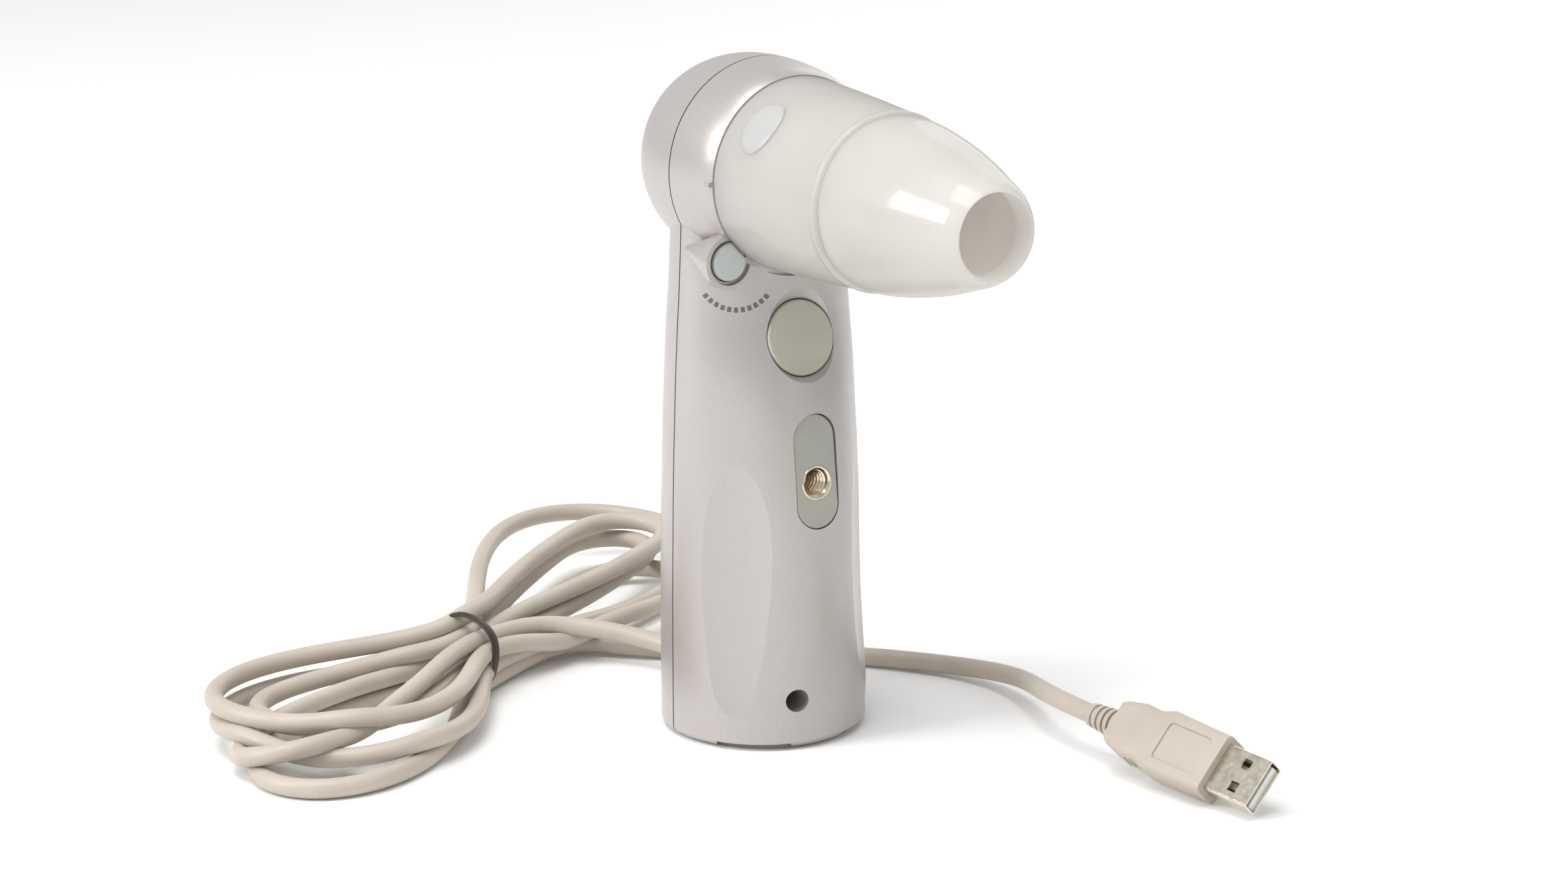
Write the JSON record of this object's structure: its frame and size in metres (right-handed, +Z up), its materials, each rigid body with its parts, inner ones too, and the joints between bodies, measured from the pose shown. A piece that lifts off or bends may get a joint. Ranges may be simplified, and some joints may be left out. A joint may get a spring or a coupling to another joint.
{
  "type": "handheld microscope camera",
  "caption": "Upright handheld inspection camera: split grip with foot, round head, clip-on translucent lens unit, shutter button, lens release, tripod insert and tied USB lead.",
  "frame": {"origin": "middle of the foot's underside", "axes": "+Z up, the lens looks along -Y, +X is the side away from the lens release"},
  "size_m": [0.1887, 0.2431, 0.1576],
  "materials": {
    "silver_shell": "fine silver metallic lacquer, satin",
    "milky_plastic": "translucent milky white, polished",
    "badge_grey": "grey printed oval",
    "button_grey": "grey-green moulded, satin",
    "release_blue": "pale translucent",
    "plate_grey": "grey-green moulded, satin",
    "nickel": "nickel plate on brass",
    "steel": "zinc plated",
    "foot_rubber": "black rubber",
    "black_plastic": "matt black",
    "white_plastic": "moulded white",
    "silicone": "soft silicone",
    "board_green": "solder mask",
    "chip_black": "moulded chip",
    "led_yellow": "phosphor",
    "optic_glass": "coated optical glass",
    "ribbon_white": "flat flex",
    "cable_beige": "beige PVC jacket",
    "tie_black": "black twist tie",
    "gold": "gold flash"
  },
  "bodies": {
    "root": {"front_shell": "silver_shell", "rear_shell": "silver_shell", "shell_screws": "steel", "foot_plate": "foot_rubber", "foot_screws": "steel", "shutter_dome": "silicone", "shutter_switch": "chip_black", "switch_board": "board_green", "switch_screws": "steel", "tripod_plate": "plate_grey", "tripod_insert": "nickel", "release_spring": "steel", "lens_socket": "black_plastic", "optic_mount": "black_plastic", "socket_screws": "steel", "light_board": "board_green", "leds": "led_yellow", "sensor_board": "board_green", "sensor_screws": "steel", "image_sensor": "chip_black", "sensor_glass": "optic_glass", "sensor_connector": "white_plastic", "ribbon_cable": "ribbon_white", "main_board": "board_green", "board_screws": "steel", "controller_chip": "chip_black", "board_parts": "chip_black", "board_connector": "white_plastic", "cable_connector": "white_plastic", "cable_gland": "cable_beige", "inner_cable": "cable_beige", "cable_wires": "ribbon_white", "cable_clamp": "black_plastic", "clamp_screws": "steel", "cable_lead": "cable_beige", "cable_hank": "cable_beige", "cable_tie": "tie_black", "cable_plug_run": "cable_beige", "plug_relief": "cable_beige", "plug_body": "cable_beige", "plug_shell": "nickel", "plug_tongue": "white_plastic", "plug_contacts": "gold"},
    "shutter": {"shutter_button": "button_grey"},
    "release": {"release_button": "release_blue", "release_latch": "white_plastic"},
    "lens_unit": {"lens_collar": "milky_plastic", "lens_nose": "milky_plastic", "lens_badge": "badge_grey", "lens_barrel": "black_plastic", "front_lens": "optic_glass", "rear_lens": "optic_glass", "lens_retainer": "black_plastic"}
  },
  "joints": [
    {"name": "shutter_press", "type": "slide", "parent": "root", "child": "shutter", "axis": [0, 0.9659, -0.2588], "range_m": [0, 0.0006], "stiffness_N_per_m": 2000, "deforming": ["shutter_dome"]},
    {"name": "release_press", "type": "slide", "parent": "root", "child": "release", "axis": [0, 1, 0], "range_m": [0, 0.002], "stiffness_N_per_m": 500, "deforming": ["release_spring"]},
    {"name": "lens_pull", "type": "slide", "parent": "root", "child": "lens_unit", "axis": [0, -1, 0], "range_m": [0, 0.012]}
  ]
}
